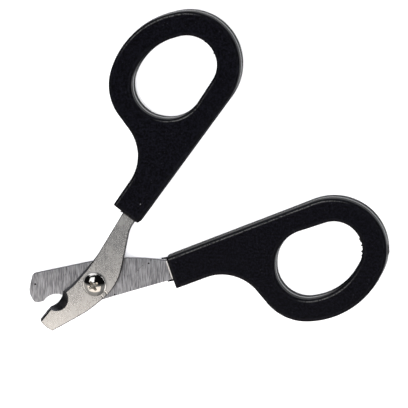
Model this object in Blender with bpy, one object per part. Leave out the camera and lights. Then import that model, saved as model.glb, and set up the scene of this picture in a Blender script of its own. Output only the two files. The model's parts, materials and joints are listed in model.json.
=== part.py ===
"""Scissor nail clipper for small pets: two stamped steel levers that turn on one screw.

Metres, +Z up. The clipper lies partly open on the back face of its lower grip, and its origin is the
centre of its footprint. Each lever is drawn in its own flat frame, in millimetres: the screw is at
(0, 0), the handle runs along +x, and the grip's straight edge lies GRIP_GAP from the x axis, so both
straight edges nearly meet when the clipper is shut. The lower lever is then turned over about its x axis.
"""

import math

import bmesh
import bpy
from mathutils import Matrix, Vector

MM = 0.001

# Where the levers stand: the screw's axis, and each handle's direction from +X.
PIVOT_X = -33.79 * MM
PIVOT_Y = -34.3 * MM
UPPER_ANGLE = math.radians(54.35)
LOWER_ANGLE = math.radians(23.1)

# Stack along the screw's axis. Heights are measured from the plane where the blades slide.
BLADE_THICKNESS = 1.5 * MM
BLADE_GAP = 0.2 * MM
GRIP_THICKNESS = 5.4 * MM
BLADE_MIDDLE = (BLADE_GAP + BLADE_THICKNESS) / 2
BLADE_INSIDE = BLADE_GAP / 2
BLADE_OUTSIDE = BLADE_INSIDE + BLADE_THICKNESS
SLIDE_PLANE = BLADE_MIDDLE + GRIP_THICKNESS / 2

# Screw and nut.
JOURNAL_RADIUS = 2.0 * MM
JOURNAL_CLEARANCE = 0.1 * MM
THREAD_RADIUS = 1.5 * MM
HEAD_RADIUS = 3.65 * MM
HEAD_RIM = 0.45 * MM
HEAD_DOME = 1.55 * MM
DOME_STEPS = 9
SEAT_GAP = 0.1 * MM
TIP_CHAMFER = 0.3 * MM
RECESS_DEPTH = 1.25 * MM
NUT_ACROSS_FLATS = 6.0 * MM
NUT_THICKNESS = 1.6 * MM
NUT_FACE_RADIUS = 2.9 * MM
NUT_CHAMFER_SLOPE = math.tan(math.radians(30))
NUT_CORNER_MARGIN = 0.3 * MM
THREAD_CLEARANCE = 0.15 * MM
THREAD_END = 0.1 * MM
TURNED_SIDES = 48

# The driver recess: one arm's direction from the lower lever's x axis, and its (length, width) at the top
# of the dome and at its floor, in millimetres.
RECESS_ANGLE = math.radians(12)
RECESS_TOP = (3.48, 0.74)
RECESS_FLOOR = (1.98, 0.6)

# How far a cutter is carried past what it cuts.
CUTTER_MARGIN = 1.0 * MM

# Fit between a tang and the plastic round it, in millimetres.
POCKET_CLEARANCE = 0.3
PEG_RADIUS = 1.0
TANG_HOLE_RADIUS = 1.35
TANG_HOLES = ((31.5, 4.0), (39.0, 4.3))
PEG_SIDES = 24

# Outlines, in a lever's own frame: corners as (x, y, rounding radius) in millimetres.
ARC_STEP = math.radians(6)
LEAST_RADIUS = 0.05
GRIP_GAP = 0.15
GRIP_LOOP_CORNERS = ((78.6, GRIP_GAP, 16.4), (95.3, 16.9, 15.5), (70.6, 38.0, 25.4))

# Each grip's back edge, from its finger loop to its mouth, and the mouth's own inner corner.
UPPER_GRIP_BACK = ((49.35, 31.15, 15.0), (42.9, 10.0, 13.2), (24.0, 9.6, 0.6))
LOWER_GRIP_BACK = ((49.3, 31.25, 15.0), (42.8, 10.35, 13.2), (22.9, 10.2, 0.6))
UPPER_MOUTH_CORNER = (24.0, GRIP_GAP, 0.6)
LOWER_MOUTH_CORNER = (23.7, GRIP_GAP, 0.6)

FINGER_HOLE_CORNERS = (
    (57.1, 6.8, 10.8),
    (77.6, 7.8, 7.9),
    (82.7, 18.4, 8.7),
    (69.1, 29.1, 17.8),
    (49.3, 24.9, 9.4),
)
FRONT_BLADE_CORNERS = (
    (-20.15, 2.05, 0.4),
    (-8.4, -3.0, 35.0),
    (3.75, -6.1, 18.0),
    (20.7, 1.45, 8.0),
    (44.0, 1.45, 1.0),
    (44.0, 6.7, 1.0),
    (26.0, 6.05, 20.0),
    (7.0, 4.5, 30.0),
    (-4.0, 5.5, 20.0),
    (-8.2, 6.55, 0.6),
    (-19.8, 7.25, 0.4),
    (-20.5, 4.6, 8.0),
)
BACK_BLADE_CORNERS = (
    (-17.4, -9.65, 1.0),
    (10.0, -5.35, 70.0),
    (23.7, 1.5, 4.0),
    (44.0, 1.5, 1.0),
    (44.0, 7.5, 1.0),
    (24.0, 7.3, 20.0),
    (-2.5, 5.15, 5.0),
    (-9.8, 0.4, 2.0),
    (-20.6, -1.0, 1.5),
    (-20.8, -5.0, 4.0),
)

# Each nail notch is a slanted cone: (centre x, centre y, radius) at the sliding face and outside. Its
# cutter runs past both faces, by NOTCH_PAST of the blade's thickness.
NOTCH_PAST = 0.25
FRONT_NOTCH = ((-11.1, 11.3, 5.5), (-11.1, 7.1, 4.0))
BACK_NOTCH = ((-14.6, 3.4, 5.0), (-14.6, -0.8, 3.7))

# The ground bevels: each runs from one point to another along an edge, in millimetres, with the blade on
# the right. BEVEL_REACH is how far the cutting wedge is carried past the bevel, in bevel widths.
BEVEL_WIDTH = 0.9
BEVEL_LAND = 0.3
BEVEL_REACH = 1.5
FRONT_BEVELS = (((-21.5, 7.34), (-11.0, 6.72)), ((-9.5, 6.87), (-4.0, 5.5)), ((-5.0, 5.6), (6.2, 4.53)))
BACK_BEVELS = (((-21.5, -1.1), (-13.0, 0.0)), ((-10.8, -0.25), (-1.5, 5.8)))

# A grip's edge on each side of the parting plane, where the inset is 0, out to the flat face: (inset,
# depth below that face) in millimetres.
GRIP_EDGE = ((0.14, 0.5), (0.22, 0.25), (0.4, 0.07), (0.65, 0.0))

# Edges sharper than this stay sharp when a piece is shaded smooth.
SMOOTH_ANGLE = math.radians(30)


def clear_scene():
    for obj in list(bpy.data.objects):
        bpy.data.objects.remove(obj, do_unlink=True)


# Outlines


def inset_corners(corners, inset):
    """The corners of a counter-clockwise outline, moved inwards by inset, with their radii to match."""
    moved = []
    for index, (x, y, radius) in enumerate(corners):
        here = Vector((x, y))
        before = here - Vector(corners[index - 1][:2])
        after = Vector(corners[(index + 1) % len(corners)][:2]) - here
        left_before = Vector((-before.y, before.x)).normalized()
        left_after = Vector((-after.y, after.x)).normalized()
        shift = (left_before + left_after) * (inset / (1 + left_before.dot(left_after)))
        convex = before.cross(after) > 0
        new_radius = radius - inset if convex else radius + inset
        moved.append((x + shift.x, y + shift.y, max(new_radius, LEAST_RADIUS)))
    return moved


def rounded_outline(corners, inset=0.0):
    """Points in millimetres round a polygon whose corners are rounded with arcs."""
    corners = inset_corners(corners, inset)
    points = []
    for index, (x, y, radius) in enumerate(corners):
        here = Vector((x, y))
        back = (Vector(corners[index - 1][:2]) - here).normalized()
        ahead = (Vector(corners[(index + 1) % len(corners)][:2]) - here).normalized()
        half = back.angle(ahead) / 2
        centre = here + (back + ahead).normalized() * (radius / math.sin(half))
        first = here + back * (radius / math.tan(half)) - centre
        turn = math.pi - 2 * half
        turn = turn if back.cross(ahead) < 0 else -turn
        steps = max(1, math.ceil(abs(turn) / ARC_STEP))
        for step in range(steps + 1):
            spun = first.copy()
            spun.rotate(Matrix.Rotation(turn * step / steps, 2))
            points.append(centre + spun)
    return points


def circle_outline(x, y, radius, sides=TURNED_SIDES):
    """Points in millimetres round a circle."""
    angles = [2 * math.pi * side / sides for side in range(sides)]
    return [Vector((x + radius * math.cos(a), y + radius * math.sin(a))) for a in angles]


# Solids


def add_ring(mesh, points, height):
    return [mesh.verts.new((point.x * MM, point.y * MM, height)) for point in points]


def join_rings(mesh, low, high):
    count = len(low)
    for index in range(count):
        following = (index + 1) % count
        mesh.faces.new((low[index], low[following], high[following], high[index]))


def cap(mesh, outer, inner=None, upwards=True):
    """Fills a flat face inside the outer ring and, if there is one, outside the inner ring."""
    if inner is None:
        mesh.faces.new(outer if upwards else outer[::-1])
        return
    edges = []
    for ring in (outer, inner):
        for index, vert in enumerate(ring):
            edges.append(mesh.edges.get((vert, ring[(index + 1) % len(ring)])))
    bmesh.ops.triangle_fill(mesh, edges=edges, use_beauty=True)


def mesh_object(name, mesh):
    bmesh.ops.recalc_face_normals(mesh, faces=mesh.faces)
    data = bpy.data.meshes.new(name)
    mesh.to_mesh(data)
    mesh.free()
    obj = bpy.data.objects.new(name, data)
    bpy.context.scene.collection.objects.link(obj)
    return obj


def loft(name, sections):
    """A closed solid through (points in millimetres, height in metres) sections, lowest first."""
    mesh = bmesh.new()
    rings = [add_ring(mesh, points, height) for points, height in sections]
    for low, high in zip(rings, rings[1:]):
        join_rings(mesh, low, high)
    cap(mesh, rings[0], upwards=False)
    cap(mesh, rings[-1])
    return mesh_object(name, mesh)


def prism(name, outline, low, high):
    """A straight cutter that runs past both heights."""
    return loft(name, ((outline, low - CUTTER_MARGIN), (outline, high + CUTTER_MARGIN)))


def lathe(name, profile):
    """A solid turned about Z from (radius, height) points that start and end on the axis, lowest first."""
    mesh = bmesh.new()
    low_pole = mesh.verts.new((0, 0, profile[0][1]))
    high_pole = mesh.verts.new((0, 0, profile[-1][1]))
    rings = []
    for radius, height in profile[1:-1]:
        rings.append(add_ring(mesh, circle_outline(0, 0, radius / MM), height))
    for low, high in zip(rings, rings[1:]):
        join_rings(mesh, low, high)
    for index in range(TURNED_SIDES):
        following = (index + 1) % TURNED_SIDES
        mesh.faces.new((low_pole, rings[0][following], rings[0][index]))
        mesh.faces.new((high_pole, rings[-1][index], rings[-1][following]))
    return mesh_object(name, mesh)


def apply_boolean(obj, cutter, operation="DIFFERENCE"):
    """Applies a Boolean and removes its cutter."""
    modifier = obj.modifiers.new("Boolean", "BOOLEAN")
    modifier.operation = operation
    modifier.object = cutter
    modifier.solver = "EXACT"
    graph = bpy.context.evaluated_depsgraph_get()
    result = bpy.data.meshes.new_from_object(obj.evaluated_get(graph))
    obj.modifiers.clear()
    obj.data = result
    bpy.data.objects.remove(cutter, do_unlink=True)


def shade(obj, material):
    obj.data.materials.clear()
    obj.data.materials.append(material)
    obj.data.shade_smooth()
    obj.data.set_sharp_from_angle(angle=SMOOTH_ANGLE)


# Blades


def notch_cutter(notch):
    """The slanted cone of a nail notch, carried on past both faces of the blade."""
    near, far = notch

    def section(share):
        """The cone's circle at a share of the way from the sliding face to the outside."""
        circle = [start + (end - start) * share for start, end in zip(near, far)]
        return circle_outline(*circle), BLADE_INSIDE + BLADE_THICKNESS * share

    return loft("notch_cutter", (section(-NOTCH_PAST), section(1 + NOTCH_PAST)))


def bevel_cutter(start, end):
    """A wedge that grinds an edge from start to end, with the blade on the right of that direction."""
    start, end = Vector(start), Vector(end)
    run = (end - start).normalized()
    inwards = Vector((run.y, -run.x))
    outside = inwards * BEVEL_WIDTH * -BEVEL_REACH
    inside = inwards * BEVEL_WIDTH * (1 + BEVEL_REACH)
    land = BLADE_INSIDE + BEVEL_LAND * MM
    rise = BLADE_THICKNESS - BEVEL_LAND * MM
    bottom = land - rise * BEVEL_REACH
    top = land + rise * (1 + BEVEL_REACH)
    mesh = bmesh.new()
    ends = []
    for point in (start, end):
        profile = ((point + outside, bottom), (point + inside, top), (point + outside, top))
        ends.append([mesh.verts.new((p.x * MM, p.y * MM, z)) for p, z in profile])
    join_rings(mesh, *ends)
    mesh.faces.new(ends[0][::-1])
    mesh.faces.new(ends[1])
    return mesh_object("bevel_cutter", mesh)


def blade(name, corners, notch, bevels):
    """A blade in its lever's frame, sliding face down, with its notch and bevels ground from above."""
    outline = rounded_outline(corners)
    obj = loft(name, ((outline, BLADE_INSIDE), (outline, BLADE_OUTSIDE)))
    holes = [circle_outline(0, 0, (JOURNAL_RADIUS + JOURNAL_CLEARANCE) / MM)]
    holes += [circle_outline(x, y, TANG_HOLE_RADIUS, PEG_SIDES) for x, y in TANG_HOLES]
    for hole in holes:
        apply_boolean(obj, prism("hole_cutter", hole, BLADE_INSIDE, BLADE_OUTSIDE))
    apply_boolean(obj, notch_cutter(notch))
    for start, end in bevels:
        apply_boolean(obj, bevel_cutter(start, end))
    return obj


# Grips


def grip_sections(corners, sign):
    """Rings from the back face to the front face. A hole's rings open outwards, with sign -1."""
    edge = [(sign * inset, GRIP_THICKNESS / 2 - depth * MM) for inset, depth in GRIP_EDGE]
    below = [(inset, BLADE_MIDDLE - rise) for inset, rise in reversed(edge)]
    above = [(inset, BLADE_MIDDLE + rise) for inset, rise in edge]
    levels = [*below, (0.0, BLADE_MIDDLE), *above]
    return [(rounded_outline(corners, inset), height) for inset, height in levels]


def tang_pocket(corners):
    """The space that a tang takes inside its grip, less the pegs that pass through the tang's holes."""
    outline = rounded_outline(corners, -POCKET_CLEARANCE)
    clearance = POCKET_CLEARANCE * MM
    low = BLADE_INSIDE - clearance
    high = BLADE_OUTSIDE + clearance
    pocket = loft("pocket_cutter", ((outline, low), (outline, high)))
    for x, y in TANG_HOLES:
        peg = circle_outline(x, y, PEG_RADIUS, PEG_SIDES)
        apply_boolean(pocket, prism("peg", peg, low, high))
    return pocket


def grip(name, mouth_corner, back_edge, blade_corners):
    """A moulded grip in its lever's frame: a plastic loop with draft on both sides of its parting line."""
    corners = (mouth_corner, *GRIP_LOOP_CORNERS, *back_edge)
    mesh = bmesh.new()
    outer = [add_ring(mesh, *section) for section in grip_sections(corners, 1)]
    inner = [add_ring(mesh, *section) for section in grip_sections(FINGER_HOLE_CORNERS, -1)]
    for rings in (outer, inner):
        for low, high in zip(rings, rings[1:]):
            join_rings(mesh, low, high)
    cap(mesh, outer[0], inner[0])
    cap(mesh, outer[-1], inner[-1])
    obj = mesh_object(name, mesh)
    apply_boolean(obj, tang_pocket(blade_corners))
    return obj


# Screw and nut


def screw_profile():
    """Radius and height up the screw: thread, journal, flat seat, short rim, then a low dome."""
    seat = BLADE_OUTSIDE + SEAT_GAP
    thread_top = -BLADE_OUTSIDE
    thread_tip = -(BLADE_OUTSIDE + SEAT_GAP + NUT_THICKNESS + THREAD_END)
    profile = [(0.0, thread_tip), (THREAD_RADIUS - TIP_CHAMFER, thread_tip)]
    profile += [(THREAD_RADIUS, thread_tip + TIP_CHAMFER), (THREAD_RADIUS, thread_top)]
    profile += [(JOURNAL_RADIUS, thread_top), (JOURNAL_RADIUS, seat), (HEAD_RADIUS, seat)]
    rim = seat + HEAD_RIM
    dome_radius = (HEAD_RADIUS**2 + HEAD_DOME**2) / (2 * HEAD_DOME)
    dome_centre = rim + HEAD_DOME - dome_radius
    widest = math.asin(HEAD_RADIUS / dome_radius)
    for step in range(DOME_STEPS):
        angle = widest * (1 - step / DOME_STEPS)
        profile.append((dome_radius * math.sin(angle), dome_centre + dome_radius * math.cos(angle)))
    profile.append((0.0, rim + HEAD_DOME))
    return profile


def recess_arm(turn):
    """One bar of the driver recess, narrowing downwards. Its sides run on past the top of the dome."""
    dome_top = BLADE_OUTSIDE + SEAT_GAP + HEAD_RIM + HEAD_DOME

    def section(height):
        share = (height + RECESS_DEPTH) / RECESS_DEPTH
        length, width = [floor + (top - floor) * share for floor, top in zip(RECESS_FLOOR, RECESS_TOP)]
        x, y = length / 2, width / 2
        return [Vector(point) for point in ((-x, -y), (x, -y), (x, y), (-x, y))], dome_top + height

    arm = loft("recess_cutter", (section(-RECESS_DEPTH), section(CUTTER_MARGIN)))
    arm.data.transform(Matrix.Rotation(turn, 4, "Z"))
    return arm


def pivot_screw():
    obj = lathe("pivot_screw", screw_profile())
    for turn in (RECESS_ANGLE, RECESS_ANGLE + math.pi / 2):
        apply_boolean(obj, recess_arm(turn))
    return obj


def pivot_nut():
    """A thin hexagon nut, its corners turned off on the outer side."""
    top = -(BLADE_OUTSIDE + SEAT_GAP)
    bottom = top - NUT_THICKNESS
    corner_radius = NUT_ACROSS_FLATS / math.sqrt(3)
    hexagon = circle_outline(0, 0, corner_radius / MM, 6)
    obj = loft("pivot_nut", ((hexagon, bottom), (hexagon, top)))
    wide_radius = corner_radius + NUT_CORNER_MARGIN
    rise = (wide_radius - NUT_FACE_RADIUS) * NUT_CHAMFER_SLOPE
    face_ring = circle_outline(0, 0, NUT_FACE_RADIUS / MM)
    wide_ring = circle_outline(0, 0, wide_radius / MM)
    sections = ((face_ring, bottom), (wide_ring, bottom + rise), (wide_ring, top + CUTTER_MARGIN))
    apply_boolean(obj, loft("chamfer_keeper", sections), "INTERSECT")
    bore = circle_outline(0, 0, (THREAD_RADIUS + THREAD_CLEARANCE) / MM)
    apply_boolean(obj, prism("bore_cutter", bore, bottom, top))
    return obj


# Materials


def material(name, colour, roughness, metallic):
    made = bpy.data.materials.new(name)
    made.use_nodes = True
    shader = made.node_tree.nodes["Principled BSDF"]
    shader.inputs["Base Color"].default_value = (*colour, 1)
    shader.inputs["Roughness"].default_value = roughness
    shader.inputs["Metallic"].default_value = metallic
    return made


def front_blade_steel():
    return material("front_blade_steel", (0.66, 0.64, 0.62), 0.34, 1.0)


def back_blade_steel():
    return material("back_blade_steel", (0.52, 0.52, 0.54), 0.42, 1.0)


def screw_nickel():
    return material("screw_nickel", (0.74, 0.72, 0.69), 0.08, 1.0)


def nut_steel():
    return material("nut_steel", (0.62, 0.61, 0.60), 0.22, 1.0)


def grip_plastic(name):
    return material(name, (0.011, 0.011, 0.014), 0.46, 0.0)


# Assembly


def lever_empty(name, angle):
    """An empty on the screw's axis, in the plane where the blades slide."""
    empty = bpy.data.objects.new(name, None)
    empty.location = (PIVOT_X, PIVOT_Y, SLIDE_PLANE)
    empty.rotation_euler = (0, 0, angle)
    bpy.context.scene.collection.objects.link(empty)
    return empty


def turn_over(obj):
    """Turns a piece half a turn about its lever's x axis, which takes it below the sliding plane."""
    obj.data.transform(Matrix.Rotation(math.pi, 4, "X"))


def build():
    clear_scene()
    upper = lever_empty("upper_lever_pivot", UPPER_ANGLE)
    lower = lever_empty("lower_lever_pivot", LOWER_ANGLE)
    front_blade = blade("front_blade", FRONT_BLADE_CORNERS, FRONT_NOTCH, FRONT_BEVELS)
    back_blade = blade("back_blade", BACK_BLADE_CORNERS, BACK_NOTCH, BACK_BEVELS)
    upper_grip = grip("upper_grip", UPPER_MOUTH_CORNER, UPPER_GRIP_BACK, FRONT_BLADE_CORNERS)
    lower_grip = grip("lower_grip", LOWER_MOUTH_CORNER, LOWER_GRIP_BACK, BACK_BLADE_CORNERS)
    turn_over(back_blade)
    turn_over(lower_grip)
    screw = pivot_screw()
    nut = pivot_nut()
    for obj in (front_blade, upper_grip):
        obj.parent = upper
    for obj in (back_blade, lower_grip, screw, nut):
        obj.parent = lower
    shade(front_blade, front_blade_steel())
    shade(back_blade, back_blade_steel())
    shade(screw, screw_nickel())
    shade(nut, nut_steel())
    shade(upper_grip, grip_plastic("upper_grip_plastic"))
    shade(lower_grip, grip_plastic("lower_grip_plastic"))


build()
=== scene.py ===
"""The looks of the scissor nail clipper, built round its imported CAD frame.

Outlines are in a lever's own flat frame, in millimetres, as in the CAD source: the screw is at (0, 0), the
handle runs along +x, and z is 0 in the plane where the blades slide. The lower lever is turned over about
its x axis. Everything else is in metres, in the frame's own axes.
"""

import json
import math

import bmesh
import bpy
from mathutils import Matrix, Vector, noise


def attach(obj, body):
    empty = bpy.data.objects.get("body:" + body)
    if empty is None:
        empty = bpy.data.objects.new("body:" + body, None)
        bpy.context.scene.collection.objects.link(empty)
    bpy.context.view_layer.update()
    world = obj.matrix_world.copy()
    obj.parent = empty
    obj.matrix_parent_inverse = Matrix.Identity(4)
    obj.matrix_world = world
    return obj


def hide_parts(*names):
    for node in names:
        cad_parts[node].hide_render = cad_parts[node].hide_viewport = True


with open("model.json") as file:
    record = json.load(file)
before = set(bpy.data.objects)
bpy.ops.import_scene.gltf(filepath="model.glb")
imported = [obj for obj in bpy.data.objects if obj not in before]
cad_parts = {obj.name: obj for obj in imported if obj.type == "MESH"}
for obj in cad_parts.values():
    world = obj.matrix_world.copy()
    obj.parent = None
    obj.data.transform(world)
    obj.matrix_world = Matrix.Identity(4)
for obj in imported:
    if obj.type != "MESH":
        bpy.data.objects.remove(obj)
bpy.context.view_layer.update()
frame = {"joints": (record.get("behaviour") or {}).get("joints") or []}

MM = 0.001

# The hinge's place, which sets the sliding plane, comes from the frame. The levers' directions are the CAD's.
PIVOT = Vector(frame["joints"][0]["pos_m"])
UPPER_ANGLE = math.radians(54.35)
LOWER_ANGLE = math.radians(23.1)

# Heights from the sliding plane, and sizes of the turned parts, in millimetres.
BLADE_INSIDE = 0.1
BLADE_OUTSIDE = 1.6
BLADE_MIDDLE = (BLADE_INSIDE + BLADE_OUTSIDE) / 2
SEAT_GAP = 0.1
HOLE_RADIUS = 2.1
JOURNAL_RADIUS = 2.0
THREAD_RADIUS = 1.5
THREAD_BORE_RADIUS = 1.65
TIP_CHAMFER = 0.3
HEAD_RADIUS = 3.65
HEAD_RIM = 0.45
HEAD_DOME = 1.55
DOME_STEPS = 24
RIM_ROUNDING = 0.12
DOME_TOP = BLADE_OUTSIDE + SEAT_GAP + HEAD_RIM + HEAD_DOME
NUT_ACROSS_FLATS = 6.0
NUT_THICKNESS = 1.6
NUT_FACE_RADIUS = 2.9
NUT_CORNER_MARGIN = 0.3
NUT_CHAMFER_SLOPE = math.tan(math.radians(30))
BORE_CHAMFER = 0.2
TURNED_SIDES = 128
RECESS_ANGLE = math.radians(12)
TANG_HOLE_RADIUS = 1.35
TANG_HOLES = ((31.5, 4.0), (39.0, 4.3))
TANG_FIT = 0.05
CUTTER_MARGIN = 1.0

# The driver recess: (depth below the top of the dome, arm length, arm width), and its centre's
# (depth, radius).
RECESS_ARM = ((1.25, 1.9, 0.46), (0.3, 3.3, 0.7), (0.0, 3.7, 0.98), (-0.4, 3.9, 1.1))
RECESS_CENTRE = ((1.4, 0.3), (0.25, 0.86), (-0.4, 1.1))
RECESS_CORNER = 0.12

# Outlines: corners as (x, y, rounding radius).
ARC_STEP = math.radians(2.5)
RUN_STEP = 1.2
LEAST_RADIUS = 0.05
GRIP_GAP = 0.15
GRIP_LOOP_CORNERS = ((78.6, GRIP_GAP, 16.4), (95.3, 16.9, 15.5), (70.6, 38.0, 25.4))
UPPER_GRIP_BACK = ((49.35, 31.15, 15.0), (42.9, 10.0, 13.2), (24.0, 9.6, 0.6))
LOWER_GRIP_BACK = ((49.3, 31.25, 15.0), (42.8, 10.35, 13.2), (22.9, 10.2, 0.6))
UPPER_MOUTH_CORNER = (24.0, GRIP_GAP, 0.6)
LOWER_MOUTH_CORNER = (23.7, GRIP_GAP, 0.6)
MOUTH_SLANT = math.atan2(0.8, 10.05)
FINGER_HOLE_CORNERS = (
    (57.1, 6.8, 10.8),
    (77.6, 7.8, 7.9),
    (82.7, 18.4, 8.7),
    (69.1, 29.1, 17.8),
    (49.3, 24.9, 9.4),
)
FRONT_BLADE_CORNERS = (
    (-20.15, 2.05, 0.4),
    (-8.4, -3.0, 35.0),
    (3.75, -6.1, 18.0),
    (20.7, 1.45, 8.0),
    (44.0, 1.45, 1.0),
    (44.0, 6.7, 1.0),
    (26.0, 6.05, 20.0),
    (7.0, 4.5, 30.0),
    (-4.0, 5.5, 20.0),
    (-8.2, 6.55, 0.6),
    (-19.8, 7.25, 0.4),
    (-20.5, 4.6, 8.0),
)
BACK_BLADE_CORNERS = (
    (-17.4, -9.65, 1.0),
    (10.0, -5.35, 70.0),
    (23.7, 1.5, 4.0),
    (44.0, 1.5, 1.0),
    (44.0, 7.5, 1.0),
    (24.0, 7.3, 20.0),
    (-2.5, 5.15, 5.0),
    (-9.8, 0.4, 2.0),
    (-20.6, -1.0, 1.5),
    (-20.8, -5.0, 4.0),
)

# A blade's edge from its sliding face to its outside: (inset, height). The shears rolled the outside edge.
BLADE_EDGE = ((0.08, 0.1), (0.025, 0.125), (0.0, 0.18), (0.0, 1.4), (0.03, 1.5), (0.1, 1.57), (0.22, 1.6))

# Nail notches as slanted cones: (centre x, centre y, radius) at the sliding face and at the outside.
FRONT_NOTCH = ((-11.1, 11.3, 5.5), (-11.1, 7.1, 4.0))
BACK_NOTCH = ((-14.6, 3.4, 5.0), (-14.6, -0.8, 3.7))
NOTCH_PAST = 0.25
NOTCH_SIDES = 180

# Hollow-ground bevels: stations along the edge as (x, y, width, land), with the blade on their right.
FRONT_BEVEL = (
    (-21.5, 7.35, 0.9, 0.3),
    (-8.2, 6.55, 0.9, 0.3),
    (-4.0, 5.5, 0.78, 0.3),
    (2.6, 4.9, 0.66, 0.3),
    (7.0, 4.5, 0.24, 1.1),
    (25.5, 6.01, 0.26, 1.15),
)
BACK_BEVEL = ((-21.5, -1.12, 0.9, 0.3), (-9.8, 0.4, 0.9, 0.3), (-1.5, 5.8, 0.9, 0.3))
GRIND_STEPS = 7
GRIND_HOLLOW = 0.18
GRIND_REACH = 1.5

# Marks in the steel: V-grooves as (start, end, width, depth), and pits as (x, y, radius, depth).
HEEL_TICKS = (
    ((0.24, -3.7), (-0.16, -5.1), 0.52, 0.12),
    ((-1.44, -3.6), (-2.0, -5.0), 0.52, 0.12),
)
BACK_SCRATCH = ((15.9, -0.07), (12.77, 1.26), 0.12, 0.04)
BACK_PITS = ((-17.9, -6.4, 0.32, 0.16), (4.1, 5.25, 0.26, 0.14), (17.8, 0.1, 0.28, 0.14))
PIT_SIDES = 20

# A grip's edge, out from the parting plane on each side: (inset, height), with the flash bead first.
BEAD = ((0.0, 0.0), (0.008, 0.08), (0.03, 0.16), (0.06, 0.23), (0.085, 0.28))
WALL = ((0.09, 0.6), (0.095, 0.95), (0.1, 1.5), (0.115, 2.05))
ROUNDING = ((0.15, 2.27), (0.26, 2.44), (0.44, 2.57), (0.68, 2.65), (0.94, 2.69), (1.2, 2.7))

# The mould's halves are out of line: the one behind the parting plane stands this much further out.
MOULD_STEP = 0.15
BEAD_WAVE = 0.03
BEAD_WAVELENGTH = 3.0
RAG_LENGTH = 0.4

# A grip's material slots.
WALL_SLOT = 0
BEAD_SLOT = 1
ROUNDING_SLOT = 2

# Flash that stands off the parting line, as (x, y, reach, height, raggedness).
UPPER_HOLE_FLASH = ((79.8, 13.2, 3.8, 0.62, 1.0),)
LOWER_HOLE_FLASH = ((80.1, 18.1, 4.4, 0.66, 1.0),)
LOWER_OUTER_FLASH = ((86.6, 21.9, 1.9, 0.36, 0.2), (63.8, 34.8, 0.8, 0.16, 0.0))

# Slivers of flash along a tang at the grip's mouth: (start, end), tapering from one size to another.
LOWER_SLIVERS = (((23.9, 0.72), (21.9, 0.2)), ((23.9, 7.66), (20.9, 7.4)))
UPPER_SLIVERS = (((24.7, 6.75), (23.1, 6.5)),)
SLIVER_ROOT = (0.34, 0.4)
SLIVER_TIP = (0.2, 0.22)

# The collar of plastic round the upper tang at its mouth: the tang's two edges there, how far the collar
# stands out of the mouth and reaches in, and its margin round the tang.
UPPER_COLLAR = (1.45, 6.1)
COLLAR_PROUD = 0.45
COLLAR_DEPTH = 1.2
COLLAR_MARGIN = 0.35
COLLAR_CORNER = 0.3
COLLAR_EDGE = ((0.18, 0.0), (0.06, 0.06), (0.0, 0.18))
FACE_PIP = (29.5, 3.0, 0.24, 0.1)

# Edges sharper than this stay sharp when a piece is shaded smooth.
SMOOTH_ANGLE = math.radians(30)


# Outlines


def inset_corners(corners, inset):
    """The corners of a counter-clockwise outline, moved inwards by inset, with their radii to match."""
    moved = []
    for index, (x, y, radius) in enumerate(corners):
        here = Vector((x, y))
        before = here - Vector(corners[index - 1][:2])
        after = Vector(corners[(index + 1) % len(corners)][:2]) - here
        left_before = Vector((-before.y, before.x)).normalized()
        left_after = Vector((-after.y, after.x)).normalized()
        shift = (left_before + left_after) * (inset / (1 + left_before.dot(left_after)))
        new_radius = radius - inset if before.cross(after) > 0 else radius + inset
        moved.append((x + shift.x, y + shift.y, max(new_radius, LEAST_RADIUS)))
    return moved


def corner_arcs(corners):
    """For each rounded corner: its centre, the arm from there to the arc's first point, and its turn."""
    arcs = []
    for index, (x, y, radius) in enumerate(corners):
        here = Vector((x, y))
        back = (Vector(corners[index - 1][:2]) - here).normalized()
        ahead = (Vector(corners[(index + 1) % len(corners)][:2]) - here).normalized()
        half = back.angle(ahead) / 2
        centre = here + (back + ahead).normalized() * (radius / math.sin(half))
        first = here + back * (radius / math.tan(half)) - centre
        turn = math.pi - 2 * half
        arcs.append((centre, first, turn if back.cross(ahead) < 0 else -turn))
    return arcs


def on_arc(arc, share):
    centre, first, turn = arc
    arm = first.copy()
    arm.rotate(Matrix.Rotation(turn * share, 2))
    return centre + arm


def outline(corners, inset=0.0):
    """Points round the rounded outline. Every inset of one outline has the same number of points."""
    plain = corner_arcs(corners)
    moved = corner_arcs(inset_corners(corners, inset))
    points = []
    for index, arc in enumerate(moved):
        following = (index + 1) % len(moved)
        steps = max(2, math.ceil(abs(plain[index][2]) / ARC_STEP))
        points += [on_arc(arc, step / steps) for step in range(steps + 1)]
        length = (on_arc(plain[following], 0) - on_arc(plain[index], 1)).length
        runs = max(1, math.ceil(length / RUN_STEP))
        end, start = on_arc(arc, 1), on_arc(moved[following], 0)
        points += [end.lerp(start, run / runs) for run in range(1, runs)]
    return points


def circle(x, y, radius, sides=TURNED_SIDES):
    angles = [2 * math.pi * side / sides for side in range(sides)]
    return [Vector((x + radius * math.cos(a), y + radius * math.sin(a))) for a in angles]


# Meshes, made in millimetres in a lever's frame


def add_ring(mesh, points, height):
    return [mesh.verts.new((point.x, point.y, height)) for point in points]


def join_rings(mesh, low, high, slot=0):
    count = len(low)
    for index in range(count):
        following = (index + 1) % count
        face = mesh.faces.new((low[index], low[following], high[following], high[index]))
        face.material_index = slot


def solid(name, mesh, *materials):
    """Turns a bmesh in millimetres into an object with the given material slots, facing outwards."""
    bmesh.ops.recalc_face_normals(mesh, faces=mesh.faces)
    data = bpy.data.meshes.new(name)
    mesh.to_mesh(data)
    mesh.free()
    for material in materials:
        data.materials.append(material)
    obj = bpy.data.objects.new(name, data)
    bpy.context.scene.collection.objects.link(obj)
    return obj


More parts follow.
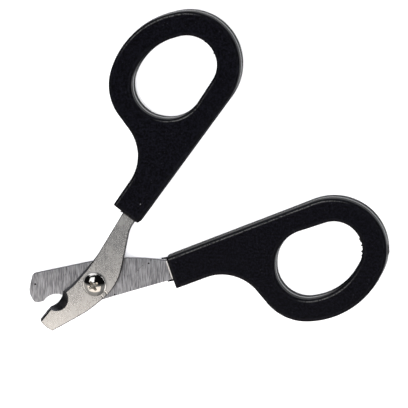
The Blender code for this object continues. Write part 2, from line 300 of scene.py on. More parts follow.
def loft(name, sections, *materials, side_slot=0):
    """A closed solid through (points, height) sections, lowest first."""
    mesh = bmesh.new()
    rings = [add_ring(mesh, points, height) for points, height in sections]
    for low, high in zip(rings, rings[1:]):
        join_rings(mesh, low, high, side_slot)
    mesh.faces.new(rings[0][::-1])
    mesh.faces.new(rings[-1])
    return solid(name, mesh, *materials)


def close_gaps(data):
    """Fills the hair-thin gaps that a Boolean can leave between faces, and turns each filling to match."""
    mesh = bmesh.new()
    mesh.from_mesh(data)
    gaps = [edge for edge in mesh.edges if edge.is_boundary]
    filled = bmesh.ops.holes_fill(mesh, edges=gaps, sides=0)["faces"] if gaps else []
    for face in filled:
        own = face.loops[0]
        beside = own.link_loop_radial_next
        face.material_index = beside.face.material_index
        if own.vert == beside.vert:
            face.normal_flip()
    mesh.to_mesh(data)
    mesh.free()


def boolean(obj, cutter, operation="DIFFERENCE"):
    """Applies a Boolean, with the cutter's materials on the faces that it makes, and removes the cutter."""
    modifier = obj.modifiers.new("Boolean", "BOOLEAN")
    modifier.operation = operation
    modifier.object = cutter
    modifier.solver = "EXACT"
    modifier.material_mode = "TRANSFER"
    graph = bpy.context.evaluated_depsgraph_get()
    result = bpy.data.meshes.new_from_object(obj.evaluated_get(graph))
    close_gaps(result)
    obj.modifiers.clear()
    obj.data = result
    bpy.data.objects.remove(cutter, do_unlink=True)


def finish_piece(obj, body, node, angle, turned_over=False):
    """Puts a piece's mesh on its lever, in metres, shades it, ties it to its CAD body and hides its CAD node.
    """
    over = Matrix.Rotation(math.pi if turned_over else 0.0, 4, "X")
    lever = Matrix.Translation(PIVOT) @ Matrix.Rotation(angle, 4, "Z") @ over
    obj.data.transform(lever @ Matrix.Scale(MM, 4))
    obj.data.shade_smooth()
    obj.data.set_sharp_from_angle(angle=SMOOTH_ANGLE)
    weighted = obj.modifiers.new("Weighted normals", "WEIGHTED_NORMAL")
    weighted.keep_sharp = True
    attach(obj, body)
    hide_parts(node)


# Blades


def notch_cutter(notch, ground):
    near, far = notch

    def section(share):
        x, y, radius = [start + (end - start) * share for start, end in zip(near, far)]
        height = BLADE_INSIDE + (BLADE_OUTSIDE - BLADE_INSIDE) * share
        return circle(x, y, radius, NOTCH_SIDES), height

    return loft("notch_cutter", (section(-NOTCH_PAST), section(1 + NOTCH_PAST)), ground)


def grind_profile(width, land):
    """(distance inwards, height) across a hollow-ground bevel, carried on past both of its edges."""
    low = BLADE_INSIDE + land
    rise = BLADE_OUTSIDE - low
    profile = [(-width * GRIND_REACH, low - rise * GRIND_REACH)]
    for step in range(GRIND_STEPS + 1):
        share = step / GRIND_STEPS
        sag = GRIND_HOLLOW * min(1, width) * 4 * share * (1 - share)
        profile.append((width * share, low + rise * share - sag))
    profile.append((width * (1 + GRIND_REACH), low + rise * (1 + GRIND_REACH)))
    profile.append((-width * GRIND_REACH, low + rise * (1 + GRIND_REACH)))
    return profile


def bevel_cutter(stations, ground):
    """The space that a grinding wheel takes along an edge through the stations."""
    mesh = bmesh.new()
    places = [Vector(station[:2]) for station in stations]
    runs = [(end - start).normalized() for start, end in zip(places, places[1:])]
    sections = []
    for index, (x, y, width, land) in enumerate(stations):
        before, after = runs[max(index - 1, 0)], runs[min(index, len(runs) - 1)]
        right = Vector((before.y + after.y, -before.x - after.x)) / (1 + before.dot(after))
        ring = [(Vector((x, y)) + right * inwards, z) for inwards, z in grind_profile(width, land)]
        sections.append([mesh.verts.new((point.x, point.y, z)) for point, z in ring])
    for low, high in zip(sections, sections[1:]):
        join_rings(mesh, low, high)
    mesh.faces.new(sections[0][::-1])
    mesh.faces.new(sections[-1])
    return solid("bevel_cutter", mesh, ground)


def groove_cutter(start, end, width, depth, face, ground):
    """A V-groove from start to end in a blade's face: the outside if face is 1, the sliding face if -1.

    Its width is the width at the face.
    """
    start, end = Vector(start), Vector(end)
    run = (end - start).normalized()
    across = Vector((-run.y, run.x)) * width
    surface = BLADE_OUTSIDE if face > 0 else BLADE_INSIDE
    mesh = bmesh.new()
    sections = []
    for point in (start, end):
        corners = (
            (point, surface - face * depth),
            (point + across, surface + face * depth),
            (point - across, surface + face * depth),
        )
        sections.append([mesh.verts.new((p.x, p.y, z)) for p, z in corners])
    join_rings(mesh, *sections)
    mesh.faces.new(sections[0][::-1])
    mesh.faces.new(sections[1])
    return solid("groove_cutter", mesh, ground)


def pit_cutter(x, y, radius, depth, ground):
    """A round-bottomed pit in a blade's sliding face."""
    surface = BLADE_INSIDE
    rings = ((2 * radius, -depth), (radius, 0.0), (0.6 * radius, 0.7 * depth), (0.2 * radius, depth))
    sections = [(circle(x, y, size, PIT_SIDES), surface + height) for size, height in rings]
    return loft("pit_cutter", sections, ground)


def blade(name, corners, notch, bevel, steel, edge_steel_painted_shade, ground, notch_ground):
    sections = [(outline(corners, inset), height) for inset, height in BLADE_EDGE]
    obj = loft(name, sections, steel, edge_steel_painted_shade, side_slot=1)
    low, high = BLADE_INSIDE - CUTTER_MARGIN, BLADE_OUTSIDE + CUTTER_MARGIN
    boolean(obj, loft("bore", ((circle(0, 0, HOLE_RADIUS), low), (circle(0, 0, HOLE_RADIUS), high)), edge_steel_painted_shade))
    for x, y in TANG_HOLES:
        hole = circle(x, y, TANG_HOLE_RADIUS, NOTCH_SIDES // 3)
        boolean(obj, loft("hole", ((hole, low), (hole, high)), edge_steel_painted_shade))
    boolean(obj, bevel_cutter(bevel, ground))
    boolean(obj, notch_cutter(notch, notch_ground))
    return obj


# Grips


def flash(point, spots):
    """How far the flash stands off the parting line at a point."""
    height = 0.0
    for x, y, reach, most, raggedness in spots:
        share = (point - Vector((x, y))).length / reach
        if share < 1:
            place = Vector((point.x, point.y, 0.0))
            rag = abs(noise.noise(place / RAG_LENGTH)) * 2
            window = 1 - share**4 if raggedness else (1 - share * share) ** 2
            height += most * window * (1 - raggedness + raggedness * min(rag, 1.0))
    return height


def bead_ring(corners, inset, out, spots, share):
    """A ring of the flash bead. out is -1 where it stands outwards, and 1 where it stands into a hole."""
    edge = outline(corners, inset * -out)
    inner = outline(corners, inset * -out + LEAST_RADIUS)
    points = []
    for point, inwards in zip(edge, inner):
        towards = (inwards - point) / LEAST_RADIUS
        wave = BEAD_WAVE * noise.noise(Vector((point.x, point.y, 7.0)) / BEAD_WAVELENGTH)
        points.append(point + towards * out * share * (flash(point, spots) - abs(wave)))
    return points


def grip_rings(mesh, corners, out, spots, front):
    """The rings of a grip's edge, lowest first. The bead's slot takes in the wall beside it, on the side that
    faces the camera: above if front is 1, below if -1.
    """
    profile = (*BEAD, *WALL, *ROUNDING)
    levels = [(inset, -height) for inset, height in profile[:0:-1]]
    levels += list(profile)
    rings = []
    for inset, height in levels:
        if abs(height) <= BEAD[-1][1]:
            share = 1 - abs(height) / BEAD[-1][1]
            points = bead_ring(corners, inset, out, spots, share)
        else:
            step = MOULD_STEP if height * front < 0 else 0.0
            points = outline(corners, (inset - step) * -out)
        rings.append(add_ring(mesh, points, BLADE_MIDDLE + height))
    for (_, start), (_, end), low, high in zip(levels, levels[1:], rings, rings[1:]):
        middle = (start + end) / 2
        on_bead = -BEAD[1][1] < middle * front < WALL[0][1]
        on_rounding = abs(middle) > WALL[-1][1]
        slot = BEAD_SLOT if on_bead else ROUNDING_SLOT if on_rounding else WALL_SLOT
        join_rings(mesh, low, high, slot)
    return rings[0], rings[-1]


def fill_between(mesh, outer, inner):
    """Fills the flat face between an outer and an inner ring."""
    edges = []
    for ring in (outer, inner):
        for index, vert in enumerate(ring):
            edges.append(mesh.edges.get((vert, ring[(index + 1) % len(ring)])))
    bmesh.ops.triangle_fill(mesh, edges=edges, use_beauty=True)


def sliver(start, end, plastic):
    """A tapering sliver of flash at the parting plane."""
    start, end = Vector(start), Vector(end)
    run = (end - start).normalized()
    mesh = bmesh.new()
    sections = []
    for place, (width, height) in ((start, SLIVER_ROOT), (end, SLIVER_TIP)):
        ring = []
        for angle in range(0, 360, 45):
            across = math.cos(math.radians(angle)) * width
            rise = math.sin(math.radians(angle)) * height
            x, y = place.x - run.y * across, place.y + run.x * across
            ring.append(mesh.verts.new((x, y, BLADE_MIDDLE + rise)))
        sections.append(ring)
    join_rings(mesh, *sections)
    mesh.faces.new(sections[0][::-1])
    mesh.faces.new(sections[1])
    return solid("sliver", mesh, plastic)


def collar(mouth, low_y, high_y, plastic):
    """The lip of plastic round a tang, standing out of the mouth."""
    low_x, high_x = mouth - COLLAR_PROUD, mouth + COLLAR_DEPTH
    low, high = low_y - COLLAR_MARGIN, high_y + COLLAR_MARGIN
    places = ((low_x, low), (high_x, low), (high_x, high), (low_x, high))
    corners = [(x, y, COLLAR_CORNER) for x, y in places]
    bottom = BLADE_INSIDE - COLLAR_MARGIN
    top = BLADE_OUTSIDE + COLLAR_MARGIN
    sections = [(outline(corners, inset), bottom + height) for inset, height in COLLAR_EDGE]
    sections += [(outline(corners, inset), top - height) for inset, height in reversed(COLLAR_EDGE)]
    return loft("collar", sections, plastic)


def pip(x, y, radius, height, plastic):
    """A small round pip on a grip's front face, which is the outside face of its lever."""
    surface = BLADE_MIDDLE + ROUNDING[-1][1]
    rings = ((radius, -0.3), (radius, 0.0), (0.85 * radius, 0.5 * height), (0.5 * radius, 0.87 * height))
    sections = [(circle(x, y, size, PIT_SIDES), surface + rise) for size, rise in rings]
    sections.append((circle(x, y, 0.15 * radius, PIT_SIDES), surface + height))
    return loft("pip", sections, plastic)


def tang_slot(corners, plastic):
    """The space that a tang takes inside its grip, less the pegs that pass through the tang's holes."""
    space = outline(corners, -TANG_FIT)
    low, high = BLADE_INSIDE - TANG_FIT, BLADE_OUTSIDE + TANG_FIT
    slot = loft("tang_slot", ((space, low), (space, high)), plastic)
    for x, y in TANG_HOLES:
        peg = circle(x, y, TANG_HOLE_RADIUS - TANG_FIT, NOTCH_SIDES // 3)
        boolean(slot, loft("peg", ((peg, low - CUTTER_MARGIN), (peg, high + CUTTER_MARGIN)), plastic))
    return slot


def grip(
    name, mouth_corner, back_edge, blade_corners, front, hole_flash, outer_flash, slivers, proud_collar=None
):
    corners = (mouth_corner, *GRIP_LOOP_CORNERS, *back_edge)
    mesh = bmesh.new()
    outer = grip_rings(mesh, corners, -1, outer_flash, front)
    inner = grip_rings(mesh, FINGER_HOLE_CORNERS, 1, hole_flash, front)
    fill_between(mesh, outer[0], inner[0])
    fill_between(mesh, outer[1], inner[1])
    obj = solid(name, mesh, plastic, gloss, edge_highlight_plastic)
    for start, end in slivers:
        boolean(obj, sliver(start, end, plastic), "UNION")
    if proud_collar:
        boolean(obj, collar(mouth_corner[0], *proud_collar, plastic), "UNION")
    boolean(obj, tang_slot(blade_corners, plastic))
    return obj


# Screw and nut


def lathe(name, profile, material):
    """A solid turned about Z from (radius, height) points that start and end on the axis, lowest first."""
    mesh = bmesh.new()
    low_pole = mesh.verts.new((0, 0, profile[0][1]))
    high_pole = mesh.verts.new((0, 0, profile[-1][1]))
    rings = [add_ring(mesh, circle(0, 0, radius), height) for radius, height in profile[1:-1]]
    for low, high in zip(rings, rings[1:]):
        join_rings(mesh, low, high)
    for index in range(TURNED_SIDES):
        following = (index + 1) % TURNED_SIDES
        mesh.faces.new((low_pole, rings[0][following], rings[0][index]))
        mesh.faces.new((high_pole, rings[-1][index], rings[-1][following]))
    return solid(name, mesh, material)


def screw_profile():
    """Radius and height up the screw: thread, journal, seat, rounded rim, then a low dome."""
    seat = BLADE_OUTSIDE + SEAT_GAP
    tip = -(BLADE_OUTSIDE + SEAT_GAP + NUT_THICKNESS + SEAT_GAP)
    profile = [(0.0, tip), (THREAD_RADIUS - TIP_CHAMFER, tip), (THREAD_RADIUS, tip + TIP_CHAMFER)]
    profile += [(THREAD_RADIUS, -BLADE_OUTSIDE), (JOURNAL_RADIUS, -BLADE_OUTSIDE), (JOURNAL_RADIUS, seat)]
    profile += [(HEAD_RADIUS - RIM_ROUNDING, seat), (HEAD_RADIUS, seat + RIM_ROUNDING)]
    rim = seat + HEAD_RIM
    dome_radius = (HEAD_RADIUS**2 + HEAD_DOME**2) / (2 * HEAD_DOME)
    dome_centre = rim + HEAD_DOME - dome_radius
    widest = math.asin(HEAD_RADIUS / dome_radius)
    profile.append((HEAD_RADIUS, rim - RIM_ROUNDING))
    for step in range(1, DOME_STEPS):
        angle = widest * (1 - step / DOME_STEPS)
        profile.append((dome_radius * math.sin(angle), dome_centre + dome_radius * math.cos(angle)))
    profile.append((0.0, rim + HEAD_DOME))
    return profile


def recess_arm(turn, steel):
    sections = []
    for depth, length, width in RECESS_ARM:
        x, y = length / 2, width / 2
        places = ((-x, -y), (x, -y), (x, y), (-x, y))
        corners = [(x, y, RECESS_CORNER) for x, y in places]
        sections.append((outline(corners), DOME_TOP - depth))
    arm = loft("recess_arm", sections, steel)
    arm.data.transform(Matrix.Rotation(turn, 4, "Z"))
    return arm


def pivot_screw(material, recess_material):
    obj = lathe("pivot_screw_look", screw_profile(), material)
    for turn in (RECESS_ANGLE, RECESS_ANGLE + math.pi / 2):
        boolean(obj, recess_arm(turn, recess_material))
    sections = [(circle(0, 0, radius, PIT_SIDES * 2), DOME_TOP - depth) for depth, radius in RECESS_CENTRE]
    boolean(obj, loft("recess_centre", sections, recess_material))
    return obj


def pivot_nut(material):
    top = -(BLADE_OUTSIDE + SEAT_GAP)
    bottom = top - NUT_THICKNESS
    corner_radius = NUT_ACROSS_FLATS / math.sqrt(3)
    hexagon = circle(0, 0, corner_radius, 6)
    obj = loft("pivot_nut_look", ((hexagon, bottom), (hexagon, top)), material)
    wide = corner_radius + NUT_CORNER_MARGIN
    rise = (wide - NUT_FACE_RADIUS) * NUT_CHAMFER_SLOPE
    rings = ((NUT_FACE_RADIUS, bottom), (wide, bottom + rise), (wide, top + CUTTER_MARGIN))
    keeper = loft("keeper", [(circle(0, 0, radius), height) for radius, height in rings], material)
    boolean(obj, keeper, "INTERSECT")
    wide_bore = THREAD_BORE_RADIUS + BORE_CHAMFER + CUTTER_MARGIN
    rings = (
        (wide_bore, bottom - CUTTER_MARGIN),
        (THREAD_BORE_RADIUS, bottom + BORE_CHAMFER),
        (THREAD_BORE_RADIUS, top - BORE_CHAMFER),
        (wide_bore, top + CUTTER_MARGIN),
    )
    boolean(obj, loft("bore", [(circle(0, 0, radius), height) for radius, height in rings], material))
    return obj


# Materials


# The blades' brushed faces scatter a little of the light that falls on them.
STEEL_METALLIC = 0.96

# How far from the middle the floor starts to glow, and where it glows in full.
GLOW_FROM = 0.15
GLOW_FULL = 0.5

# The way that the grips' edges face where they carry a painted highlight, in dashes.
HIGHLIGHT_WAY = Vector((-0.059, 0.136, 0.989)).normalized()


class Nodes:
    """Short calls for building one material's or world's nodes."""

    def __init__(self, tree):
        self.tree = tree

    def add(self, kind, inputs=(), **settings):
        """Adds a node. inputs is (socket, value or output) pairs; settings are the node's own properties."""
        node = self.tree.nodes.new("ShaderNode" + kind)
        for name, value in settings.items():
            setattr(node, name, value)
        for socket, value in inputs:
            self.put(value, node.inputs[socket])
        return node

    def put(self, value, socket):
        if isinstance(value, bpy.types.NodeSocket):
            self.tree.links.new(value, socket)
        else:
            socket.default_value = value

    def math(self, operation, first, second=0.0):
        return self.add("Math", ((0, first), (1, second)), operation=operation).outputs[0]

    def span(self, value, low, high, to_low=0.0, to_high=1.0):
        """value taken smoothly from the range low to high into the range to_low to to_high."""
        inputs = ((0, value), (1, low), (2, high), (3, to_low), (4, to_high))
        return self.add("MapRange", inputs, interpolation_type="SMOOTHSTEP").outputs[0]

    def object_place(self, turn=0.0, stretch=(1, 1, 1)):
        """The place on the piece at rest, for a grain stretched along a direction turned from +Y."""
        place = self.add("TexCoord").outputs["Object"]
        inputs = ((0, place), (2, (0, 0, turn)), (3, stretch))
        return self.add("Mapping", inputs, vector_type="TEXTURE").outputs[0]

    def noise(self, place, size, detail=3.0, roughness=0.55):
        """Noise with features of the given size in metres."""
        inputs = (("Vector", place), ("Scale", 1 / size), ("Detail", detail), ("Roughness", roughness))
        return self.add("TexNoise", inputs).outputs[0]

    def blend(self, factor, first, second):
        """The mix of two colours."""
        node = self.add("Mix", data_type="RGBA")
        for socket, value in ((0, factor), (6, (*first, 1) if isinstance(first, tuple) else first)):
            self.put(value, node.inputs[socket])
        self.put((*second, 1) if isinstance(second, tuple) else second, node.inputs[7])
        return node.outputs[2]

    def bump(self, height, depth, strength=1.0, normal=None):
        """A bump of the given depth in metres."""
        inputs = [("Height", height), ("Distance", depth), ("Strength", strength)]
        if normal is not None:
            inputs.append(("Normal", normal))
        return self.add("Bump", inputs).outputs[0]


def new_material(name, metallic, specular=0.5):
    """A material, its Principled shader's inputs, and its nodes."""
    made = bpy.data.materials.new(name)
    made.use_nodes = True
    shader = made.node_tree.nodes["Principled BSDF"]
    shader.inputs["Metallic"].default_value = metallic
    shader.inputs["Specular IOR Level"].default_value = specular
    return made, shader.inputs, Nodes(made.node_tree)


def brushed_steel(name, dark, light, stretch, roughness, grain_depth, grain_size, lighter_from=None):
    """Stainless steel with a straight grain, smudges, fine burr lines and a few specks."""
    made, shader, nodes = new_material(name, STEEL_METALLIC)
    along = nodes.object_place(0.0, (1, stretch, 1))
    plain = nodes.object_place()
    grain = nodes.noise(along, grain_size, 4.0, 0.62)
    burr = nodes.noise(nodes.object_place(0.06, (1, 40, 1)), grain_size * 2.2, 1.0)
    smudge = nodes.noise(plain, 6 * MM, 3.0, 0.6)
    fleck = nodes.noise(plain, 0.5 * MM, 2.0, 0.7)
    contrast = nodes.span(grain, 0.33, 0.67)
    colour = nodes.blend(contrast, dark, light)
    lines = nodes.span(burr, 0.7, 0.76, 0.0, 0.35)
    colour = nodes.blend(lines, colour, tuple(0.55 * part for part in dark))
    specks = nodes.span(fleck, 0.73, 0.8, 0.0, 0.6)
    colour = nodes.blend(specks, colour, tuple(0.3 * part for part in dark))
    rough = nodes.span(smudge, 0.3, 0.75, roughness - 0.04, roughness + 0.06)
    rough = nodes.math("ADD", rough, nodes.math("MULTIPLY", contrast, 0.05))
    # From a line just short of the lower grip's mouth onwards, the steel is near white and rougher.
    if lighter_from is not None:
        across_mouth = (math.cos(LOWER_ANGLE - MOUTH_SLANT), math.sin(LOWER_ANGLE - MOUTH_SLANT), 0)
        start = PIVOT.dot(Vector(across_mouth)) + lighter_from
        reach = nodes.add("VectorMath", ((0, plain), (1, across_mouth)), operation="DOT_PRODUCT")
        lighter_strip = nodes.span(reach.outputs["Value"], start, start + 0.2 * MM)
        colour = nodes.blend(lighter_strip, colour, (0.97, 0.96, 0.95))
        rough = nodes.math("ADD", rough, nodes.math("MULTIPLY", lighter_strip, 0.25))
    nodes.put(colour, shader["Base Color"])
    nodes.put(rough, shader["Roughness"])
    nodes.put(nodes.bump(grain, grain_depth), shader["Normal"])
    return made


def ground_steel(name, colour, roughness, turn):
    """Steel off the grinding wheel, in the colour given, with fine lines across the edge and a bluish heat
    stain.
    """
    made, shader, nodes = new_material(name, 1.0)
    lines = nodes.noise(nodes.object_place(turn, (1, 14, 1)), 0.16 * MM, 3.0, 0.6)
    stain = nodes.noise(nodes.object_place(), 2.5 * MM, 2.0)
    base = nodes.blend(nodes.span(lines, 0.3, 0.7), tuple(0.75 * part for part in colour), colour)
    tinted = nodes.blend(nodes.span(stain, 0.5, 0.8, 0.0, 0.4), base, tuple(0.7 * part for part in colour))
    nodes.put(tinted, shader["Base Color"])
    nodes.put(nodes.span(lines, 0.25, 0.75, roughness - 0.06, roughness + 0.08), shader["Roughness"])
    nodes.put(nodes.bump(lines, 0.006 * MM), shader["Normal"])
    return made


def sheared_steel(name, colour):
    """The side of the sheet where it was blanked: a smooth, rubbed half and a torn, grainy half."""
    made, shader, nodes = new_material(name, 1.0)
    place = nodes.object_place()
    height = nodes.math("SUBTRACT", nodes.add("SeparateXYZ", ((0, place),)).outputs[2], PIVOT.z)
    height = nodes.math("ABSOLUTE", height)
    tear = nodes.noise(nodes.object_place(0, (1, 1, 5)), 0.22 * MM, 3.0, 0.7)
    wander = nodes.math("MULTIPLY", nodes.noise(place, 1.6 * MM, 2.0), 0.5 * MM)
    torn = nodes.span(nodes.math("SUBTRACT", height, wander), 0.45 * MM, 0.75 * MM)
    shade = nodes.blend(nodes.span(tear, 0.3, 0.7), tuple(0.6 * part for part in colour), colour)
    base = nodes.blend(torn, tuple(1.25 * part for part in colour), shade)
    nodes.put(base, shader["Base Color"])
    nodes.put(nodes.span(torn, 0.0, 1.0, 0.3, 0.5), shader["Roughness"])
    nodes.put(nodes.bump(nodes.math("MULTIPLY", tear, torn), 0.02 * MM), shader["Normal"])
    return made


def moulded_plastic(name, colour, roughness, specular, grain_depth, turn, painted_highlight=0.0):
    """Black plastic with the mould's fine spark-eroded grain, faint flow lines and handling marks.

    The last argument is the grey of a painted highlight, in dashes, on the edges that face the highlight's
    way.
    """
    made, shader, nodes = new_material(name, 0.0, specular)
    place = nodes.object_place()
    grain = nodes.noise(place, 0.34 * MM, 4.0, 0.7)
    pores = nodes.noise(place, 0.6 * MM, 2.0, 0.8)
    flow = nodes.noise(nodes.object_place(turn, (1, 9, 1)), 4 * MM, 2.0)
    scuff = nodes.noise(nodes.object_place(turn + 0.7, (1, 16, 1)), 0.7 * MM, 2.0, 0.65)
    speck = nodes.noise(place, 0.42 * MM, 1.0)
    marks = nodes.span(scuff, 0.7, 0.82, 0.0, 0.5)
    mottled = nodes.blend(nodes.span(pores, 0.42, 0.6), tuple(0.12 * part for part in colour), colour)
    dusty = nodes.blend(marks, mottled, tuple(2.5 * part for part in colour))
    dust = nodes.span(speck, 0.7, 0.8, 0.0, 0.6)
    shade = nodes.blend(dust, dusty, (0.03, 0.03, 0.035))
    if painted_highlight:
        # Painted highlight: a light grey laid in dashes on the edges that face one way.
        normal = nodes.add("TexCoord").outputs["Normal"]
        facing = nodes.add("VectorMath", ((0, normal), (1, HIGHLIGHT_WAY)), operation="DOT_PRODUCT")
        dashes = nodes.span(nodes.noise(place, 0.45 * MM, 2.0), 0.4, 0.56, 0.0, 1.0)
        highlighted = nodes.math("MULTIPLY", nodes.span(facing.outputs["Value"], 0.9945, 0.9985), dashes)
        shade = nodes.blend(highlighted, shade, (painted_highlight, painted_highlight, painted_highlight))
    nodes.put(shade, shader["Base Color"])
    rough = nodes.span(flow, 0.3, 0.7, roughness - 0.015, roughness + 0.015)
    rough = nodes.math("ADD", rough, nodes.math("MULTIPLY", marks, 0.12))
    nodes.put(rough, shader["Roughness"])
    fine = nodes.bump(grain, grain_depth)
    nodes.put(nodes.bump(nodes.span(pores, 0.62, 0.7), -0.4 * grain_depth, 1.0, fine), shader["Normal"])
    return made


def plated_metal(name, colour, roughness, scratch_depth, turned=False):
    """Bright plating with hairline scratches, fingerprints and, on a turned part, faint tool rings."""
    made, shader, nodes = new_material(name, 1.0)
    place = nodes.object_place()
    hair = nodes.noise(nodes.object_place(0.9, (1, 30, 1)), 0.25 * MM, 2.0, 0.7)
    haze = nodes.noise(place, 1.4 * MM, 3.0, 0.6)
    dull = nodes.span(haze, 0.5, 0.8, 0.0, 0.35)
    nodes.put(nodes.blend(dull, colour, tuple(0.72 * part for part in colour)), shader["Base Color"])
    nodes.put(nodes.span(haze, 0.3, 0.8, roughness - 0.02, roughness + 0.05), shader["Roughness"])
    normal = nodes.bump(hair, scratch_depth)
    if turned:
        radius = nodes.add("VectorMath", ((0, place),), operation="LENGTH").outputs["Value"]
        rings = nodes.add("TexNoise", (("W", radius), ("Scale", 1 / (0.09 * MM))), noise_dimensions="1D")
        normal = nodes.bump(rings.outputs[0], 0.5 * scratch_depth, 1.0, normal)
    nodes.put(normal, shader["Normal"])
    return made


def floor_material():
    """Plain pale paper with the faintest tooth. It glows away from the clipper, to hide its far edge."""
    made, shader, nodes = new_material("floor_paper", 0.0, 0.2)
    tooth = nodes.noise(nodes.object_place(), 3 * MM, 3.0)
    nodes.put(nodes.blend(tooth, (0.84, 0.84, 0.86), (0.88, 0.88, 0.9)), shader["Base Color"])
    shader["Roughness"].default_value = 0.9
    away = nodes.add("VectorMath", ((0, nodes.object_place()),), operation="LENGTH").outputs["Value"]
    shader["Emission Color"].default_value = (1, 1, 1, 1)
    nodes.put(nodes.span(away, GLOW_FROM, GLOW_FULL), shader["Emission Strength"])
    return made


# Build the pieces

front_steel = brushed_steel(
    "front_steel", (0.6, 0.6, 0.6), (0.69, 0.69, 0.69), 3.0, 0.24, 0.002 * MM, 0.45 * MM
)
back_steel = brushed_steel(
    "back_steel", (0.18, 0.184, 0.205), (0.56, 0.575, 0.625), 14.0, 0.3, 0.006 * MM, 0.22 * MM, 22.95 * MM
)
# Darker than the front blade's face: ground steel, partly painted shade on the bevel.
front_ground_painted_shade = ground_steel("front_ground_painted_shade", (0.36, 0.36, 0.37), 0.18, UPPER_ANGLE)
# Near black: painted shade in the front blade's notch.
front_notch_painted_shade = ground_steel("front_notch_painted_shade", (0.05, 0.05, 0.055), 0.3, UPPER_ANGLE)
back_ground = ground_steel("back_ground", (0.4, 0.4, 0.41), 0.28, LOWER_ANGLE)
pit_dark = ground_steel("pit_dark", (0.05, 0.05, 0.055), 0.4, LOWER_ANGLE)
# Near white: a painted glint in the heel's two grooves.
painted_glint_steel = ground_steel("tick_steel_painted_glint", (0.95, 0.94, 0.92), 0.2, UPPER_ANGLE)
# Near black: painted shade along the blades' edges and in their holes.
edge_steel_painted_shade = sheared_steel("sheared_steel", (0.05, 0.05, 0.054))
plastic = moulded_plastic("grip_black", (0.0023, 0.0023, 0.0042), 0.5, 0.05, 0.02 * MM, 0.3)
gloss = moulded_plastic("parting_line_black", (0.006, 0.006, 0.008), 0.22, 0.6, 0.002 * MM, 0.3)
# Lighter than the grip: a painted glint on the pip.
pip_painted_glint = moulded_plastic("pip_black_painted_glint", (0.06, 0.06, 0.065), 0.12, 0.8, 0.001 * MM, 0.3)
# The grips' rounded edges, with a painted highlight in dashes along those that face one way.
edge_highlight_plastic = moulded_plastic(
    "rounded_edge_black_painted_highlight", (0.0023, 0.0023, 0.0042), 0.45, 0.1, 0.01 * MM, 0.3, 0.045
)
nickel = plated_metal("screw_plating", (0.56, 0.545, 0.52), 0.07, 0.0012 * MM, True)
# Lighter than the screw's dome: painted glints in the driver recess.
recess_painted_glint = plated_metal("recess_plating_painted_glint", (0.7, 0.68, 0.64), 0.14, 0.002 * MM)
nut_metal = plated_metal("nut_plating", (0.62, 0.61, 0.6), 0.22, 0.002 * MM)

front_blade = blade(
    "front_blade_look",
    FRONT_BLADE_CORNERS,
    FRONT_NOTCH,
    FRONT_BEVEL,
    front_steel,
    edge_steel_painted_shade,
    front_ground_painted_shade,
    front_notch_painted_shade,
)
for start, end, width, depth in HEEL_TICKS:
    boolean(front_blade, groove_cutter(start, end, width, depth, 1, painted_glint_steel))
back_blade = blade(
    "back_blade_look",
    BACK_BLADE_CORNERS,
    BACK_NOTCH,
    BACK_BEVEL,
    back_steel,
    edge_steel_painted_shade,
    back_ground,
    back_ground,
)
start, end, width, depth = BACK_SCRATCH
boolean(back_blade, groove_cutter(start, end, width, depth, -1, back_ground))
for x, y, radius, depth in BACK_PITS:
    boolean(back_blade, pit_cutter(x, y, radius, depth, pit_dark))

upper_grip = grip(
    "upper_grip_look",
    UPPER_MOUTH_CORNER,
    UPPER_GRIP_BACK,
    FRONT_BLADE_CORNERS,
    1,
    UPPER_HOLE_FLASH,
    (),
    UPPER_SLIVERS,
    UPPER_COLLAR,
)
boolean(upper_grip, pip(*FACE_PIP, pip_painted_glint), "UNION")
lower_grip = grip(
    "lower_grip_look",
    LOWER_MOUTH_CORNER,
    LOWER_GRIP_BACK,
    BACK_BLADE_CORNERS,
    -1,
    LOWER_HOLE_FLASH,
    LOWER_OUTER_FLASH,
    LOWER_SLIVERS,
)
screw = pivot_screw(nickel, recess_painted_glint)
nut = pivot_nut(nut_metal)

finish_piece(front_blade, "upper_lever", "front_blade", UPPER_ANGLE)
finish_piece(upper_grip, "upper_lever", "upper_grip", UPPER_ANGLE)
finish_piece(back_blade, "lower_lever", "back_blade", LOWER_ANGLE, True)
finish_piece(lower_grip, "lower_lever", "lower_grip", LOWER_ANGLE, True)
finish_piece(screw, "lower_lever", "pivot_screw", LOWER_ANGLE)
finish_piece(nut, "lower_lever", "pivot_nut", LOWER_ANGLE)


# Camera: above the flat clipper, a little towards +X and +Y, and far off

CAMERA_AZIMUTH = math.radians(10.5)
CAMERA_ELEVATION = math.radians(11.52)
CAMERA_DISTANCE = 648.9 * MM
CAMERA_RIGHT = 32.81 * MM
CAMERA_UP = 24.04 * MM
CAMERA_LENS = 188.9

backwards = Vector((
    math.sin(CAMERA_AZIMUTH) * math.cos(CAMERA_ELEVATION),
    math.sin(CAMERA_ELEVATION),
    math.cos(CAMERA_AZIMUTH) * math.cos(CAMERA_ELEVATION),
))
rightwards = Vector((math.cos(CAMERA_AZIMUTH), 0, -math.sin(CAMERA_AZIMUTH)))
upwards = backwards.cross(rightwards)
camera = bpy.data.objects.new("camera", bpy.data.cameras.new("camera"))
camera.data.lens = CAMERA_LENS
turn = Matrix((rightwards, upwards, backwards)).transposed().to_4x4()
place = PIVOT + rightwards * CAMERA_RIGHT + upwards * CAMERA_UP + backwards * CAMERA_DISTANCE
camera.matrix_world = Matrix.Translation(place) @ turn
bpy.context.scene.collection.objects.link(camera)
bpy.context.scene.camera = camera


# Floor and light

FLOOR_HALF = 2.5
FLOOR_DROP = 0.00002
OVERHEAD_PLACE = (0.1, 0.1, 1.0)
OVERHEAD_SIZE = 1.4
OVERHEAD = 5.5

# How bright each part of the surround is in reflections. It can't be seen directly.
TABLE_LEVEL = 0.6
WINDOW_LEVEL = 2.0
HORIZON_LEVEL = 1.5
SIDE_LEVEL = 0.8
UNDER_LEVEL = 3.6
DARK_LEVEL = 0.006

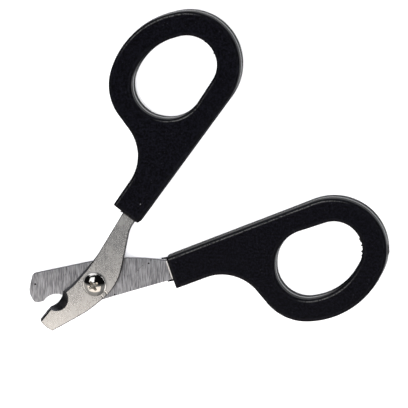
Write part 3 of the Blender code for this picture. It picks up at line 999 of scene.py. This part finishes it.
mesh = bmesh.new()
signs = ((-1, -1), (1, -1), (1, 1), (-1, 1))
mesh.faces.new([mesh.verts.new((x * FLOOR_HALF, y * FLOOR_HALF, -FLOOR_DROP)) for x, y in signs])
floor = solid("floor", mesh, floor_material())
floor.visible_glossy = False


def studio_world():
    """White for the camera. In reflections it is dark, but for a pale table towards -Y, a window, a band at
    the horizon towards +Y, a strip at the side towards -X and light from below towards +X and +Y.
    """
    world = bpy.data.worlds.new("studio")
    world.use_nodes = True
    nodes = Nodes(world.node_tree)
    background = world.node_tree.nodes["Background"]
    way = nodes.add("SeparateXYZ", ((0, nodes.add("TexCoord").outputs["Generated"]),)).outputs
    degrees = math.degrees(1)
    lean_x = nodes.math("MULTIPLY", nodes.math("ARCTAN2", way[0], way[2]), degrees)
    lean_y = nodes.math("MULTIPLY", nodes.math("ARCTAN2", way[1], way[2]), degrees)
    rise = nodes.math("MULTIPLY", nodes.math("ARCSINE", way[2]), degrees)

    def both(first, second):
        return nodes.math("MULTIPLY", first, second)

    def within(value, low, high, soft):
        above = nodes.span(value, low - soft, low + soft)
        return both(above, nodes.span(value, high - soft, high + soft, 1, 0))

    table = both(nodes.span(lean_y, -6, -3, 1, 0), nodes.span(lean_y, -35, -10, 1, 0.3))
    table = both(table, nodes.span(lean_y, -90, -40, 0.7, 1))
    table = both(table, nodes.span(lean_x, 5, 60, 1, 0.55))
    table = both(table, nodes.span(way[2], -0.5, -0.2))
    window = both(within(lean_y, 13, 47, 1.5), within(lean_x, -42, -6, 1.5))
    horizon = both(nodes.span(way[1], 0.5, 0.7), within(way[0], -0.6, 0.05, 0.1))
    horizon = both(within(rise, 10, 26, 2), horizon)
    side_light = both(within(rise, -9, 3, 2), nodes.span(way[0], -0.75, -0.6, 1, 0))
    ahead = nodes.math("ADD", way[0], way[1])
    under_light = both(within(rise, -66, 4, 3), nodes.span(ahead, -0.2, 0.2))
    parts = (
        (table, TABLE_LEVEL),
        (window, WINDOW_LEVEL),
        (horizon, HORIZON_LEVEL),
        (side_light, SIDE_LEVEL),
        (under_light, UNDER_LEVEL),
    )
    strength = DARK_LEVEL
    for part, level in parts:
        strength = nodes.math("ADD", strength, nodes.math("MULTIPLY", part, level))
    warm = nodes.blend(table, (0.97, 0.98, 1.0), (1.0, 0.97, 0.93))
    seen = nodes.add("LightPath").outputs["Is Camera Ray"]
    nodes.put(nodes.blend(seen, warm, (1.0, 1.0, 1.0)), background.inputs["Color"])
    level = nodes.add("Mix", ((0, seen), (2, strength), (3, 1.0))).outputs[0]
    nodes.put(level, background.inputs["Strength"])
    bpy.context.scene.world = world


def softbox(name, place, width, length, radiance, colour, in_reflections):
    """A rectangle of light that faces straight down."""
    light = bpy.data.lights.new(name, "AREA")
    light.shape = "RECTANGLE"
    light.size = width
    light.size_y = length
    light.energy = radiance * math.pi * width * length
    light.color = colour
    obj = bpy.data.objects.new(name, light)
    obj.location = place
    obj.visible_glossy = in_reflections
    obj.visible_camera = False
    bpy.context.scene.collection.objects.link(obj)


# The large softbox lights the floor and the plastic. The small warm card hangs just below the camera's
# line, where the blades mirror it: it brightens them from the screw down to the jaws.
CARD_HEIGHT = 120 * MM
CARD_WIDTH = 260 * MM
CARD_LENGTH = 150 * MM
CARD_EDGE = -8 * MM
CARD_RADIANCE = 1.22
CARD_COLOUR = (1.0, 0.9, 0.8)

studio_world()
softbox("overhead_softbox", OVERHEAD_PLACE, OVERHEAD_SIZE, OVERHEAD_SIZE, OVERHEAD, (1.0, 1.0, 1.0), False)
to_camera = place - PIVOT
mirrored = PIVOT - to_camera * (CARD_HEIGHT / to_camera.z)
card_place = (mirrored.x, mirrored.y + CARD_EDGE - CARD_LENGTH / 2, CARD_HEIGHT)
softbox("jaw_card", card_place, CARD_WIDTH, CARD_LENGTH, CARD_RADIANCE, CARD_COLOUR, True)

bpy.context.scene.view_settings.view_transform = "Standard"
